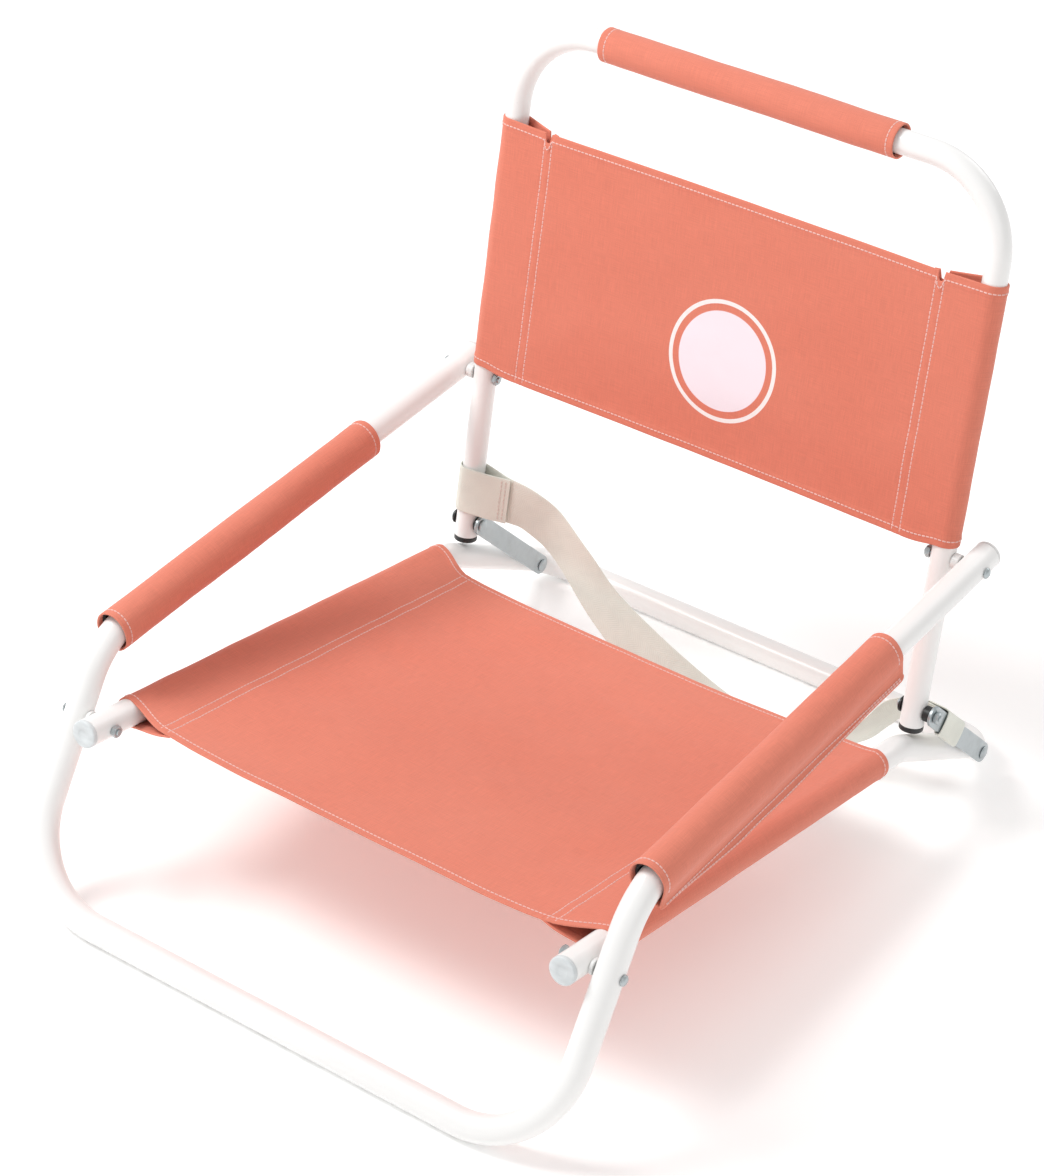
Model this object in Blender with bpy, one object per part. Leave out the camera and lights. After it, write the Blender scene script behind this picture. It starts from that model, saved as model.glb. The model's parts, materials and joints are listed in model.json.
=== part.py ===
"""Folding low beach chair: three bent tube frames, two links, canvas panels and padded sleeves.

Lengths in the constants are millimetres and the meshes are built in metres. +X is the sitter's
left, +Y runs from the front bar to the back and +Z is up. The tags left and right are -X and +X,
as seen from the front. Side-view places are (y, z) pairs with y counted from the front ground
bar's centreline. The chair stands on z = 0.
"""
from math import acos, atan2, ceil, cos, pi, radians, sin, tan

import bmesh
import bpy
from mathutils import Matrix, Vector

MM = 0.001
FRONT_Y = -361.0            # row-frame y of the front ground bar's centreline
GAP = 0.3                   # clearance between touching pieces

# tube frames
SIDES = 16                  # facets round a tube
TUBE_R = 12.5               # arm frame and seat frame
BACK_TUBE_R = 11.0
WALL = 1.5
BAR_Z = TUBE_R * cos(pi / SIDES)     # a facet of each ground bar lies on z = 0
FRONT_HALF = 279.0          # half-widths between tube centrelines
SEAT_HALF = 250.5
BACK_HALF = 248.5

# side-view skeleton
ARM_BEND = (112.8, 214.8)   # where leg and arm centrelines would meet
BACK_PIVOT = (602.6, 272.3)
SEAT_PIVOT = (78.8, 153.8)
RAIL_FRONT = (54.4, 156.7)
RAIL_BEND = (554.0, 97.0)
REAR_BAR_Y = 722.0
LINK_PIVOT = (582.2, 124.3)
BACK_TOP = (652.3, 612.9)
STUD_Y = 682.0
ARM_PAST_PIVOT = 22.0
BACK_BELOW_PIVOT = 15.0
RAIL_CAP = 4.0              # flange of a rail's end cap, inside the rail's length
ARM_CAP = 3.0
FOOT_CAP = 5.0

ARM_BEND_R = 70.0
FRONT_CORNER_R = 85.0
RAIL_BEND_R = 60.0
REAR_CORNER_R = 38.0
BACK_CORNER_R = 77.0
ARC_STEP = radians(11.5)

# fasteners
BOLT_R = 3.0
HOLE_R = 3.4
HEAD_R = 6.0
HEAD_H = 3.6
NUT_R = 5.8
NUT_H = 4.5
SHANK_PAST_NUT = 2.0
WASHER_R = 7.2
WASHER_H = 2.0
RIVET_H = 2.4               # height of a rivet's low head
COLLAR_H = 3.4              # collar on the tail's stud
ROUND = 12                  # facets round a fastener

# links
LINK_WIDTH = 19.0
LINK_T = 3.0
LINK_OFFSET = 4.0           # seat tube's side to the link's near face
LINK_END_STEPS = 8

# canvas, padding and webbing
CANVAS_T = 1.0
CANVAS_GAP = 0.4
SEAM_X = 204.0              # the sleeves' stitched seams
SEAT_FROM, SEAT_TO = 48.0, 476.0     # along the rail from its front end
SEAT_SAG = 7.0
BACK_FROM, BACK_TO = 157.5, 401.0    # along the upright from the link pivot
BACK_SAG = 4.0
FOAM_T = 3.5
ARM_SLEEVE_FROM, ARM_SLEEVE_TO = 485.0, 144.0   # along the arm, ahead of the back pivot
GRIP_FROM, GRIP_TO = -170.0, 142.0
GRIP_R = 15.8
STRAP_WIDTH = 45.0
STRAP_T = 1.5


def materials():
    """One Principled material for each finish."""
    finishes = {
        "white_paint": ((0.86, 0.85, 0.83), 0.35, 0.0),
        "white_plastic": ((0.80, 0.80, 0.80), 0.45, 0.0),
        "grey_plastic": ((0.62, 0.64, 0.65), 0.45, 0.0),
        "black_plastic": ((0.02, 0.02, 0.02), 0.45, 0.0),
        "zinc": ((0.48, 0.52, 0.54), 0.35, 1.0),
        "coral_canvas": ((0.80, 0.20, 0.12), 0.85, 0.0),
        "foam": ((0.25, 0.25, 0.26), 0.95, 0.0),
        "ivory_webbing": ((0.80, 0.77, 0.68), 0.85, 0.0),
    }
    made = {}
    for name, (colour, roughness, metallic) in finishes.items():
        material = bpy.data.materials.new(name)
        material.use_nodes = True
        shader = material.node_tree.nodes["Principled BSDF"]
        shader.inputs["Base Color"].default_value = (*colour, 1.0)
        shader.inputs["Roughness"].default_value = roughness
        shader.inputs["Metallic"].default_value = metallic
        made[name] = material
    return made


def side(x, place):
    """A point at lateral x and side-view (y, z), in millimetres in the row frame."""
    return Vector((x, place[0] + FRONT_Y, place[1]))


def rail_direction():
    return (side(0, RAIL_BEND) - side(0, RAIL_FRONT)).normalized()


def arm_direction():
    return (side(0, BACK_PIVOT) - side(0, ARM_BEND)).normalized()


def back_direction():
    return (side(0, BACK_TOP) - side(0, LINK_PIVOT)).normalized()


def stud_place():
    """The link's lower pivot, on the seat frame's tail."""
    slope = (BAR_Z - RAIL_BEND[1]) / (REAR_BAR_Y - RAIL_BEND[0])
    return (STUD_Y, RAIL_BEND[1] + slope * (STUD_Y - RAIL_BEND[0]))


def rounded_path(corners, radius_at):
    """A polyline through the corners, with an arc of the given radius at each inner one."""
    points = [corners[0]]
    for before, corner, after, radius in zip(corners, corners[1:], corners[2:], radius_at):
        back = (before - corner).normalized()
        ahead = (after - corner).normalized()
        turn = pi - back.angle(ahead)
        centre = corner + (back + ahead).normalized() * radius / cos(turn / 2)
        start = corner + back * radius * tan(turn / 2) - centre
        axis = back.cross(ahead).normalized()
        steps = ceil(turn / ARC_STEP)
        for step in range(steps + 1):
            points.append(centre + Matrix.Rotation(-turn * step / steps, 3, axis) @ start)
    points.append(corners[-1])
    return points


def cut_path(points, start, end):
    """The stretch of a polyline between two distances from its first point."""
    kept = []
    run = 0.0
    for a, b in zip(points, points[1:]):
        length = (b - a).length
        if run <= start <= run + length:
            kept.append(a.lerp(b, (start - run) / length))
        if start < run + length < end:
            kept.append(b)
        if run <= end <= run + length:
            kept.append(a.lerp(b, (end - run) / length))
        run += length
    return kept


def rings_along(points, radius, first, up):
    """Rings of SIDES points square to the path, turned as little as possible from point first."""
    tangents = []
    for i, point in enumerate(points):
        before = (point - points[i - 1]).normalized() if i else None
        after = (points[i + 1] - point).normalized() if i < len(points) - 1 else None
        tangents.append(((before or after) + (after or before)).normalized())
    normals = [None] * len(points)
    normals[first] = (up - tangents[first] * up.dot(tangents[first])).normalized()
    order = [(i, i - 1) for i in range(first + 1, len(points))]
    order += [(i, i + 1) for i in range(first - 1, -1, -1)]
    for i, known in order:
        turned = tangents[known].rotation_difference(tangents[i]) @ normals[known]
        normals[i] = (turned - tangents[i] * turned.dot(tangents[i])).normalized()
    rings = []
    for point, tangent, normal in zip(points, tangents, normals):
        across = tangent.cross(normal)
        angles = [2 * pi * (k + 0.5) / SIDES for k in range(SIDES)]
        rings.append([point + radius * (cos(a) * normal + sin(a) * across) for a in angles])
    return rings


def skin(bm, rows, closed_rows=True, closed_columns=True):
    """Quads over a grid of vertex rows."""
    verts = [[bm.verts.new(p * MM) for p in row] for row in rows]
    row_count, count = len(verts), len(verts[0])
    for i in range(row_count if closed_rows else row_count - 1):
        for k in range(count if closed_columns else count - 1):
            a, b = verts[i], verts[(i + 1) % row_count]
            bm.faces.new((a[k], a[(k + 1) % count], b[(k + 1) % count], b[k]))
    return verts


def tube(points, outer, inner, first=0, up=Vector((0, 0, 1))):
    """A hollow tube along a path, with open ends."""
    bm = bmesh.new()
    outside = rings_along(points, outer, first, up)
    inside = rings_along(points, inner, first, up)
    skin(bm, outside + inside[::-1])
    return bm


def turned(profile, centre, axis, sides=ROUND):
    """A solid turned about axis from (radius, height) pairs that start and end on the axis."""
    bm = bmesh.new()
    turn = Vector((0, 0, 1)).rotation_difference(axis).to_matrix()
    rows = []
    for radius, height in profile[1:-1]:
        angles = [2 * pi * k / sides for k in range(sides)]
        rows.append([centre + turn @ Vector((radius * cos(a), radius * sin(a), height))
                     for a in angles])
    verts = skin(bm, rows, closed_rows=False)
    for row, (_, height) in ((verts[0], profile[0]), (verts[-1], profile[-1])):
        pole = bm.verts.new((centre + turn @ Vector((0, 0, height))) * MM)
        for k in range(sides):
            bm.faces.new((row[k], row[(k + 1) % sides], pole))
    return bm


def ring(inner, outer, height, centre, axis, hexagonal=False):
    """A flat ring standing on centre, such as a washer, or a nut when hexagonal."""
    bm = bmesh.new()
    turn = Vector((0, 0, 1)).rotation_difference(axis).to_matrix()
    rows = []
    for radius, z in ((inner, 0), (outer, 0), (outer, height), (inner, height)):
        row = []
        for k in range(ROUND):
            a = 2 * pi * k / ROUND
            flat = cos(pi / 6) if hexagonal and radius == outer and k % 2 else 1.0
            row.append(centre + turn @ Vector((radius * flat * cos(a), radius * flat * sin(a), z)))
        rows.append(row)
    skin(bm, rows)
    return bm


def strip(centres, across, width, thickness):
    """A flat strip of rectangular section along a path; across is its width's direction."""
    bm = bmesh.new()
    rows = []
    for i, point in enumerate(centres):
        ahead = centres[min(i + 1, len(centres) - 1)] - centres[max(i - 1, 0)]
        wide = (across[i] - ahead.normalized() * across[i].dot(ahead.normalized())).normalized()
        thick = ahead.cross(wide).normalized() * thickness / 2
        wide = wide * width / 2
        rows.append([point - wide - thick, point + wide - thick,
                     point + wide + thick, point - wide + thick])
    verts = skin(bm, rows, closed_rows=False)
    bm.faces.new(verts[0])
    bm.faces.new(verts[-1])
    return bm


class Chair:
    """Adds named objects, each under the empty that stands on its body's joint axis."""

    def __init__(self):
        self.looks = materials()
        self.bodies = {}

    def body(self, name, place):
        empty = bpy.data.objects.new(name, None)
        empty.empty_display_size = 0.05
        empty.location = place * MM
        bpy.context.collection.objects.link(empty)
        self.bodies[name] = empty

    def add(self, name, bm, body, look, smooth=True):
        parent = self.bodies[body]
        bmesh.ops.recalc_face_normals(bm, faces=bm.faces)
        if bm.calc_volume(signed=True) < 0:
            bmesh.ops.reverse_faces(bm, faces=bm.faces)
        bmesh.ops.translate(bm, verts=bm.verts, vec=-parent.location)
        mesh = bpy.data.meshes.new(name)
        bm.to_mesh(mesh)
        bm.free()
        if smooth:
            mesh.shade_smooth()
            mesh.set_sharp_from_angle(angle=radians(35))
        mesh.materials.append(self.looks[look])
        obj = bpy.data.objects.new(name, mesh)
        obj.parent = parent
        bpy.context.collection.objects.link(obj)
        return obj


def drill(obj, cutters):
    """Cut each cutter out of an object."""
    for cutter in cutters:
        cut = obj.modifiers.new("drill", "BOOLEAN")
        cut.operation = "DIFFERENCE"
        cut.solver = "EXACT"
        cut.object = cutter


def cross_drill(name, place):
    """A cutter along X through both sides of the chair."""
    start = side(-1.2 * FRONT_HALF, place)
    reach = 2.4 * FRONT_HALF
    bm = turned([(0, 0), (HOLE_R, 0), (HOLE_R, reach), (0, reach)], start, Vector((1, 0, 0)))
    bmesh.ops.recalc_face_normals(bm, faces=bm.faces)
    mesh = bpy.data.meshes.new(name)
    bm.to_mesh(mesh)
    bm.free()
    cutter = bpy.data.objects.new(name, mesh)
    cutter.hide_render = True
    cutter.display_type = "WIRE"
    bpy.context.collection.objects.link(cutter)
    return cutter


def front_path():
    """The arm frame from the left arm's end round the front bar to the right arm's end."""
    end = side(0, BACK_PIVOT) + arm_direction() * ARM_PAST_PIVOT
    half = [end, side(0, ARM_BEND), side(0, (0, BAR_Z))]
    left = [p + Vector((-FRONT_HALF, 0, 0)) for p in half]
    right = [p + Vector((FRONT_HALF, 0, 0)) for p in reversed(half)]
    radii = (ARM_BEND_R, FRONT_CORNER_R, FRONT_CORNER_R, ARM_BEND_R)
    return rounded_path(left + right, radii)


def seat_path():
    start = side(0, RAIL_FRONT) + rail_direction() * RAIL_CAP
    half = [start, side(0, RAIL_BEND), side(0, (REAR_BAR_Y, BAR_Z))]
    left = [p + Vector((-SEAT_HALF, 0, 0)) for p in half]
    right = [p + Vector((SEAT_HALF, 0, 0)) for p in reversed(half)]
    radii = (RAIL_BEND_R, REAR_CORNER_R, REAR_CORNER_R, RAIL_BEND_R)
    return rounded_path(left + right, radii)


def back_path():
    foot = side(0, LINK_PIVOT) - back_direction() * BACK_BELOW_PIVOT
    half = [foot, side(0, BACK_TOP)]
    left = [p + Vector((-BACK_HALF, 0, 0)) for p in half]
    right = [p + Vector((BACK_HALF, 0, 0)) for p in reversed(half)]
    return rounded_path(left + right, (BACK_CORNER_R, BACK_CORNER_R))


def with_middle(points):
    """The path with a point at its middle, and that point's index."""
    half = len(points) // 2
    middle = (points[half - 1] + points[half]) / 2
    return points[:half] + [middle] + points[half:], half


def add_frames(chair, cutters):
    upright = Vector((0, 0, 1))
    for name, path, radius, body, holes in (
            ("front_arm_frame", front_path(), TUBE_R, "front", ("back_pivot", "seat_pivot")),
            ("seat_frame", seat_path(), TUBE_R, "seat", ("seat_pivot", "stud")),
            ("back_frame", back_path(), BACK_TUBE_R, "back", ("back_pivot", "link_pivot"))):
        points, middle = with_middle(path)
        frame = chair.add(name, tube(points, radius, radius - WALL, middle, upright),
                          body, "white_paint")
        drill(frame, [cutters[hole] for hole in holes])


def plug(centre, axis, tube_r, flange, depth=9.0, edge=0.8):
    """An end plug whose flange stands on centre and whose spigot goes back into the tube."""
    bore = tube_r - WALL - 0.4
    return turned([(0, -depth), (bore, -depth), (bore, 0), (tube_r, 0), (tube_r, flange - edge),
                   (tube_r - edge, flange), (0, flange)], centre, axis, SIDES)


def add_plugs(chair):
    arm, rail, back = arm_direction(), rail_direction(), back_direction()
    for tag, sign in (("left", -1), ("right", 1)):
        end = side(sign * FRONT_HALF, BACK_PIVOT) + arm * (ARM_PAST_PIVOT + GAP)
        chair.add(f"arm_end_cap_{tag}", plug(end, arm, TUBE_R, ARM_CAP), "front", "white_plastic")
        end = side(sign * SEAT_HALF, RAIL_FRONT) + rail * (RAIL_CAP - GAP)
        chair.add(f"rail_cap_{tag}", plug(end, -rail, TUBE_R, RAIL_CAP), "seat", "grey_plastic")
        end = side(sign * BACK_HALF, LINK_PIVOT) - back * (BACK_BELOW_PIVOT + GAP)
        chair.add(f"back_foot_{tag}", plug(end, -back, BACK_TUBE_R, FOOT_CAP), "back", "black_plastic")


def bolt(length):
    """A domed bolt whose head stands below height 0 and whose shank goes up."""
    return [(0, -HEAD_H), (0.6 * HEAD_R, -0.9 * HEAD_H), (HEAD_R, -0.4 * HEAD_H), (HEAD_R, 0),
            (BOLT_R, 0), (BOLT_R, length), (0, length)]


def add_stack(chair, body, name, place, start, into, stack):
    """A bolt through a stack of pieces along X.

    start is the x of the outermost tube face, into is +1 or -1, the way the shank runs, and
    stack lists what lies outside it and beyond it: (kind, from, height) measured from start.
    """
    axis = Vector((into, 0, 0))
    for piece, low, height, look in stack:
        foot = side(start, place) + axis * low
        if piece == "bolt":
            bm = turned(bolt(height), foot, axis)
        elif piece == "nut":
            bm = ring(HOLE_R, NUT_R, height, foot, axis, hexagonal=True)
        else:
            bm = ring(HOLE_R, WASHER_R, height, foot, axis)
        chair.add(f"{name}_{piece}", bm, body, look, smooth=piece == "bolt")


def add_pivots(chair):
    tube_d, back_d = 2 * TUBE_R, 2 * BACK_TUBE_R
    shank = NUT_H + SHANK_PAST_NUT
    for tag, sign in (("left", -1), ("right", 1)):
        outer = sign * (FRONT_HALF + TUBE_R)
        seat_gap = FRONT_HALF - SEAT_HALF - tube_d
        back_gap = FRONT_HALF - BACK_HALF - TUBE_R - BACK_TUBE_R
        for name, place, gap, inner_d in (
                (f"seat_pivot_{tag}", SEAT_PIVOT, seat_gap, tube_d),
                (f"back_pivot_{tag}", BACK_PIVOT, back_gap, back_d)):
            grip = tube_d + gap + inner_d
            add_stack(chair, "front", name, place, outer, -sign, (
                ("bolt", -GAP, grip + shank, "zinc"),
                ("washer", tube_d + GAP, gap - 2 * GAP, "white_plastic"),
                ("nut", grip + GAP, NUT_H, "zinc")))
        # both links stand on the +X side of their upright
        near = sign * BACK_HALF - BACK_TUBE_R
        plate = sign * SEAT_HALF + TUBE_R + LINK_OFFSET - near
        stack = [("washer", -GAP - WASHER_H, WASHER_H, "black_plastic"),
                 ("spacer", back_d + GAP, plate - back_d - 2 * GAP, "black_plastic")]
        if tag == "right":
            end = plate + LINK_T
            stack += [("bolt", -2 * GAP - WASHER_H, end + WASHER_H + shank, "zinc"),
                      ("nut", end + GAP, NUT_H, "zinc")]
        else:
            # the left link's upper pivot is open, so this bolt ends inside the spacer
            stack += [("bolt", -2 * GAP - WASHER_H, plate + WASHER_H, "zinc")]
        add_stack(chair, "back", f"link_pivot_{tag}", LINK_PIVOT, near, 1, stack)


def link_outline(x):
    """The link's round-ended outline at lateral x."""
    low, high = side(0, stud_place()), side(0, LINK_PIVOT)
    along = (low - high).normalized()
    outline = []
    for centre, facing in ((low, along), (high, -along)):
        other = facing.cross(Vector((-1, 0, 0)))
        for k in range(LINK_END_STEPS + 1):
            a = pi / 2 - pi * k / LINK_END_STEPS
            outline.append(centre + LINK_WIDTH / 2 * (cos(a) * facing + sin(a) * other)
                           + Vector((x, 0, 0)))
    return outline


def rivet(foot, axis):
    """A low-headed rivet that fills a link's hole; axis points out of the link's far face."""
    profile = [(0, RIVET_H), (0.6 * HEAD_R, 0.9 * RIVET_H), (HEAD_R, 0.3 * RIVET_H), (HEAD_R, 0),
               (BOLT_R, 0), (BOLT_R, -LINK_T), (0, -LINK_T)]
    return turned(profile, foot, axis)


def add_links(chair, cutters):
    """Flat bars from the uprights to the seat frame's tails.

    Each link turns on a real pin at one end and is open at the other, because a closed linkage
    has to be opened somewhere: the right link at the tail, where a stud stops short of it, and
    the left link at the upright. A rivet fills the open end's hole.
    """
    out = Vector((1, 0, 0))
    tube_d = 2 * TUBE_R
    for tag, sign in (("left", -1), ("right", 1)):
        body = f"link_{tag}"
        face = sign * SEAT_HALF + TUBE_R + LINK_OFFSET
        bm = bmesh.new()
        verts = skin(bm, [link_outline(face), link_outline(face + LINK_T)], closed_rows=False)
        bm.faces.new(verts[0])
        bm.faces.new(verts[1])
        bar = chair.add(body + "_bar", bm, body, "zinc", smooth=False)
        drill(bar, [cutters["link_pivot"], cutters["stud"]])

        open_place = LINK_PIVOT if tag == "left" else stud_place()
        chair.add(body + "_rivet", rivet(side(face + LINK_T + GAP, open_place), out), body, "zinc")
        stem = tube_d + 4 * GAP + NUT_H + SHANK_PAST_NUT
        if tag == "left":
            head = side(face + LINK_T + GAP, stud_place())
            reach = LINK_T + GAP + LINK_OFFSET + stem
            pin = [(0, -RIVET_H), (0.6 * HEAD_R, -0.9 * RIVET_H), (HEAD_R, -0.3 * RIVET_H),
                   (HEAD_R, 0), (BOLT_R, 0), (BOLT_R, reach), (0, reach)]
            chair.add(f"tail_stud_{tag}", turned(pin, head, -out), "seat", "zinc")
            foot = side(face - GAP, stud_place())
            chair.add(f"tail_spacer_{tag}",
                      ring(HOLE_R, HEAD_R, LINK_OFFSET - 2 * GAP, foot, -out), "seat",
                      "black_plastic", smooth=False)
        else:
            tail = side(face - LINK_OFFSET, stud_place())
            pin = [(0, -COLLAR_H), (HEAD_R, -COLLAR_H), (HEAD_R, -GAP), (BOLT_R, -GAP),
                   (BOLT_R, stem), (0, stem)]
            chair.add(f"tail_stud_{tag}", turned(pin, tail, -out), "seat", "zinc")
        nut = side(face - LINK_OFFSET - tube_d - 4 * GAP, stud_place())
        chair.add(f"tail_nut_{tag}", ring(HOLE_R, NUT_R, NUT_H, nut, -out, True),
                  "seat", "zinc", smooth=False)


def panel(origin, along, face, half, tube_r, start, end, sag):
    """Canvas stretched between two tubes, wrapped round each and sewn to itself at SEAM_X."""
    reach = tube_r + CANVAS_GAP + CANVAS_T / 2
    seam = reach - sag * (1 - (SEAM_X / half) ** 2) - CANVAS_T - 0.4
    left = [(-SEAM_X, seam)]
    # the return leaves the seam as a tangent to the sleeve's circle and goes round the tube
    to_seam = Vector((half - SEAM_X, seam))
    leave = atan2(to_seam.y, to_seam.x) - acos(reach / to_seam.length)
    for k in range(13):
        a = leave + (-1.5 * pi - leave) * k / 13
        left.append((-half + reach * cos(a), reach * sin(a)))
    sheet = []
    for k in range(13):
        x = -half + 2 * half * k / 12
        sheet.append((x, reach - sag * (1 - (x / half) ** 2)))
    profile = left + sheet + [(-x, n) for x, n in reversed(left)]
    middle = (start + end) / 2
    centres = [origin + along * middle + Vector((x, 0, 0)) + face * n for x, n in profile]
    return strip(centres, [along] * len(centres), end - start, CANVAS_T)


def add_fabric(chair):
    rail = rail_direction()
    up = Vector((1, 0, 0)).cross(rail)
    chair.add("seat_panel", panel(side(0, RAIL_FRONT), rail, up, SEAT_HALF, TUBE_R,
                                  SEAT_FROM, SEAT_TO, SEAT_SAG), "seat", "coral_canvas")
    back = back_direction()
    front = Vector((1, 0, 0)).cross(back)
    chair.add("back_panel", panel(side(0, LINK_PIVOT), back, front, BACK_HALF, BACK_TUBE_R,
                                  BACK_FROM, BACK_TO, BACK_SAG), "back", "coral_canvas")


def add_sleeves(chair):
    path = front_path()
    start = ARM_PAST_PIVOT + ARM_SLEEVE_TO
    left = cut_path(path, start, ARM_PAST_PIVOT + ARM_SLEEVE_FROM)
    foam = TUBE_R + 0.3 + FOAM_T
    for tag, mirror in (("left", 1), ("right", -1)):
        points = [Vector((mirror * p.x, p.y, p.z)) for p in left]
        chair.add(f"arm_foam_{tag}", tube(points, foam, TUBE_R + 0.3), "front", "foam")
        chair.add(f"arm_sleeve_{tag}", tube(points, foam + 0.2 + CANVAS_T, foam + 0.2),
                  "front", "coral_canvas")
    bar = [side(x, BACK_TOP) for x in (GRIP_FROM, GRIP_TO)]
    inner = GRIP_R - CANVAS_T
    chair.add("grip_foam", tube(bar, inner - 0.2, BACK_TUBE_R + 0.3), "back", "foam")
    chair.add("grip_sleeve", tube(bar, GRIP_R, inner), "back", "coral_canvas")


def smooth_curve(points, steps=4):
    """A Catmull-Rom curve through the points."""
    padded = [2 * points[0] - points[1]] + points + [2 * points[-1] - points[-2]]
    curve = []
    for a, b, c, d in zip(padded, padded[1:], padded[2:], padded[3:]):
        for step in range(steps):
            t = step / steps
            curve.append(0.5 * (2 * b + (c - a) * t + (2 * a - 5 * b + 4 * c - d) * t * t
                                + (3 * b - a - 3 * c + d) * t ** 3))
    return curve + [points[-1]]


def strap_route():
    """Centreline and width direction of the carrying strap, from its left end to its right.

    It wraps the left upright, crosses low behind the seat and wraps the right link.
    """
    back = back_direction()
    front = Vector((1, 0, 0)).cross(back)
    upright = side(-BACK_HALF, LINK_PIVOT) + back * 35.0
    wrap = BACK_TUBE_R + 1.6
    points = [upright + Vector((44, 0, 0)) + front * 1.6,
              upright + Vector((24, 0, 0)) + front * 8.0]
    for k in range(7):
        a = pi * k / 6
        points.append(upright + Vector((-wrap * sin(a), 0, 0)) + front * wrap * cos(a))
    points.append(upright + Vector((24, 0, 0)) - front * 6.0)
    points.append(upright + Vector((40, 0, 0)) - front * 1.2)
    wide = [back] * len(points)

    # (x, y, z, lean): lean is the width's tilt from upright towards the back, in degrees
    span = ((-185, 593, 154, 0), (-160, 598, 139, 0), (-130, 597, 115, 1), (-100, 596, 86, 5),
            (-65, 596, 61, 16), (-25, 597, 38, 37), (20, 600, 20, 64), (65, 607, 9.5, 87),
            (110, 616, 8, 96), (145, 621, 15, 107), (170, 622, 34, 119), (190, 622, 61, 128),
            (213, 623, 90, 132))
    curve = smooth_curve([side(x, (y, z)) for x, y, z, _ in span], 2)
    leans = smooth_curve([Vector((lean, 0, 0)) for *_, lean in span], 2)
    points += curve
    wide += [Vector((0, sin(radians(a.x)), cos(radians(a.x)))) for a in leans]

    high = side(0, LINK_PIVOT)
    along = (side(0, stud_place()) - high).normalized()
    square = Vector((1, 0, 0)).cross(along)
    face = SEAT_HALF + TUBE_R + LINK_OFFSET
    middle = high + along * 44.0 + Vector((face + LINK_T / 2, 0, 0))
    half = LINK_WIDTH / 2
    loop = ((-26, half + 1.6), (-7, half + 0.8), (-3.6, half - 1.0), (-3.4, 0),
            (-2.4, -half - 0.2), (0, -half - 1.6), (2.4, -half - 0.4), (3.0, 0),
            (2.4, half + 0.4), (0, half + 2.6), (-6, half + 3.4), (-24, half + 4.2))
    for x, n in loop:
        points.append(middle + Vector((x, 0, 0)) + square * n)
        wide.append(along)
    return points, wide


def add_strap(chair):
    points, wide = strap_route()
    chair.add("carry_strap", strip(points[::-1], wide[::-1], STRAP_WIDTH, STRAP_T), "back",
              "ivory_webbing")


def main():
    for obj in list(bpy.data.objects):
        bpy.data.objects.remove(obj, do_unlink=True)
    chair = Chair()
    chair.body("front", side(0, (0, BAR_Z)))
    chair.body("seat", side(0, SEAT_PIVOT))
    chair.body("back", side(0, BACK_PIVOT))
    chair.body("link_left", side(-BACK_HALF, stud_place()))
    chair.body("link_right", side(BACK_HALF, LINK_PIVOT))
    cutters = {name: cross_drill(f"{name}_hole", place) for name, place in (
        ("back_pivot", BACK_PIVOT), ("seat_pivot", SEAT_PIVOT),
        ("link_pivot", LINK_PIVOT), ("stud", stud_place()))}
    add_frames(chair, cutters)
    add_plugs(chair)
    add_pivots(chair)
    add_links(chair, cutters)
    add_fabric(chair)
    add_sleeves(chair)
    add_strap(chair)


main()
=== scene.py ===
"""Looks of the folding beach chair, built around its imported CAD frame.

Smooth painted tubes, sewn canvas panels, padded sleeves, a webbing strap and steel fittings.
Lengths are millimetres and become metres when a mesh is made. +X is the sitter's left, -Y the
front and +Z up, as in the frame. A side-view place is a (y, z) pair.
"""
import json
from bisect import bisect_right
from math import acos, atan2, ceil, cos, exp, hypot, pi, radians, sin, sqrt, tan

import bmesh
import bpy
from mathutils import Matrix, Vector, noise


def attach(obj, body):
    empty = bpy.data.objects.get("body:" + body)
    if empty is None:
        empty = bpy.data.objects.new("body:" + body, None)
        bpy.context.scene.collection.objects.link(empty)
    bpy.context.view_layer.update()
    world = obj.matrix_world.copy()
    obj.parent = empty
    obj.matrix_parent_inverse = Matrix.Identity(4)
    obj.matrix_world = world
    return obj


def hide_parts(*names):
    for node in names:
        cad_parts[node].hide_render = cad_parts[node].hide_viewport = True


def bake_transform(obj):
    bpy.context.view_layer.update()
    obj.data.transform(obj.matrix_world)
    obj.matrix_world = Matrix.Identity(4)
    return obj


MM = 0.001
X, Y, Z = Vector((1, 0, 0)), Vector((0, 1, 0)), Vector((0, 0, 1))

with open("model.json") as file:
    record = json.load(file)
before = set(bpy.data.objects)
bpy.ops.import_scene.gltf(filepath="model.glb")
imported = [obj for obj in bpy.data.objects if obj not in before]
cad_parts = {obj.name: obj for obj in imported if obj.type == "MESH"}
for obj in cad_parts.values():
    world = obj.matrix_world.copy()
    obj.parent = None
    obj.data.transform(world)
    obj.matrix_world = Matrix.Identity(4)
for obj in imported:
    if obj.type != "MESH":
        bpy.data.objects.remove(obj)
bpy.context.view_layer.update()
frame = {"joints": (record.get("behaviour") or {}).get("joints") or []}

# ---- the frame's driving places
PIVOT = {joint["name"]: Vector(joint["pos_m"]) / MM for joint in frame["joints"]}
BACK_PIVOT, SEAT_PIVOT, LINK_PIVOT = (
    (PIVOT[name].y, PIVOT[name].z) for name in ("back_fold", "seat_fold", "link_fold_right"))
TUBE_R = 12.5               # arm frame and seat frame
BACK_TUBE_R = 11.0
WALL = 1.5
BAR_Z = 12.26               # height of the two ground bars' centrelines
GAP = 0.3                   # clearance between touching pieces
FRONT_HALF, SEAT_HALF, BACK_HALF = 279.0, 250.5, 248.5   # half-widths between centrelines
FRONT_BAR = (-361.0, BAR_Z)
ARM_BEND = (-248.2, 214.8)
RAIL_FRONT = (-306.6, 156.7)
RAIL_BEND = (193.0, 97.0)
REAR_BAR = (361.0, BAR_Z)
BACK_TOP = (291.3, 612.9)
STUD_Y = 321.0
ARM_PAST_PIVOT = 22.0
BACK_BELOW_PIVOT = 15.0
RAIL_CAP = 4.0
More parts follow.
